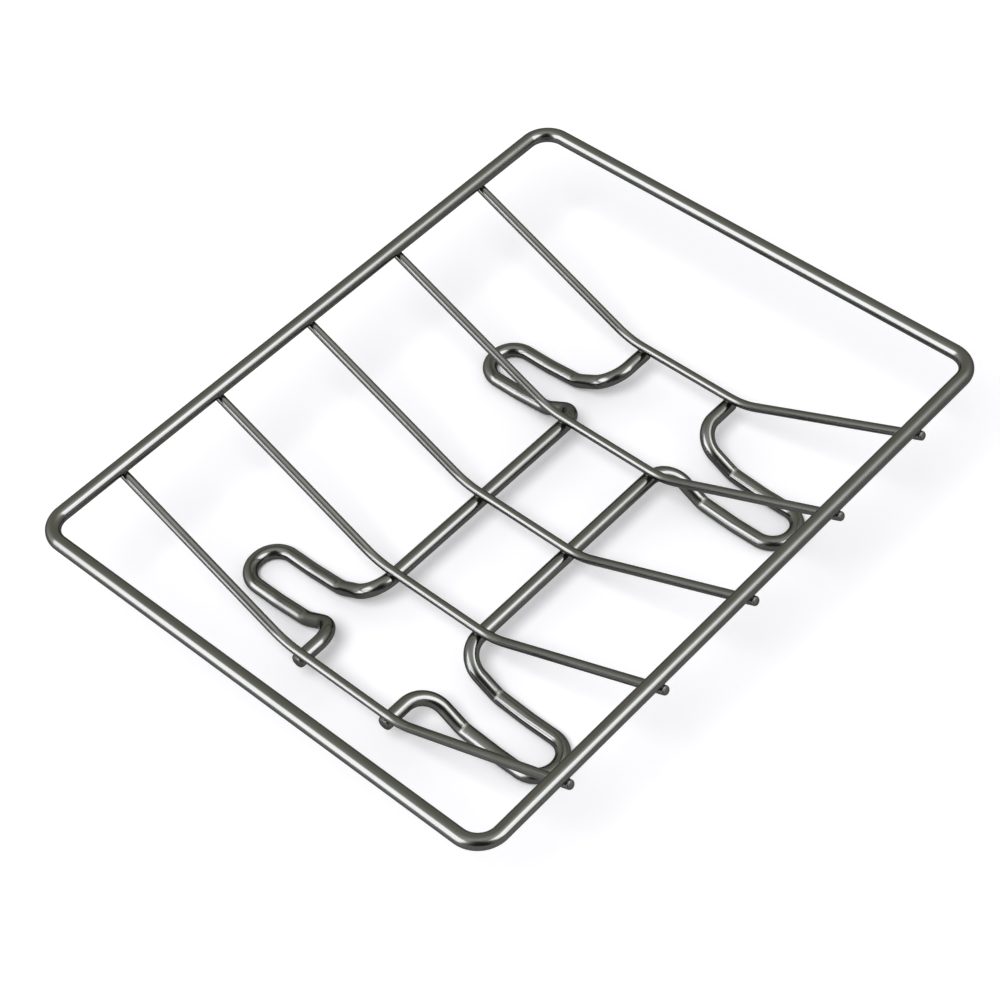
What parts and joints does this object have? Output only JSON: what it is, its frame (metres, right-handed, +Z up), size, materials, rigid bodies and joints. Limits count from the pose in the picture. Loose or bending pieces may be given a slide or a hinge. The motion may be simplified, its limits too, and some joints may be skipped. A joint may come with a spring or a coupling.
{
  "type": "roasting basket",
  "caption": "Shallow wire cradle for roasting meat: bent cross wires hang from a rectangular ring and stand on rails that are looped out into feet.",
  "frame": {"origin": "on the surface that the feet stand on, under the middle of the ring", "axes": "+X along the trough and the ring's long sides, +Y across the trough, +Z up"},
  "size_m": [0.305, 0.241, 0.0702],
  "materials": {
    "stainless_wire": "polished bright"
  },
  "bodies": {
    "root": {"ring_frame": "stainless_wire", "cross_wire_1": "stainless_wire", "cross_wire_2": "stainless_wire", "cross_wire_3": "stainless_wire", "cross_wire_4": "stainless_wire", "cross_wire_5": "stainless_wire", "foot_rail_left": "stainless_wire", "foot_rail_right": "stainless_wire"}
  },
  "joints": []
}
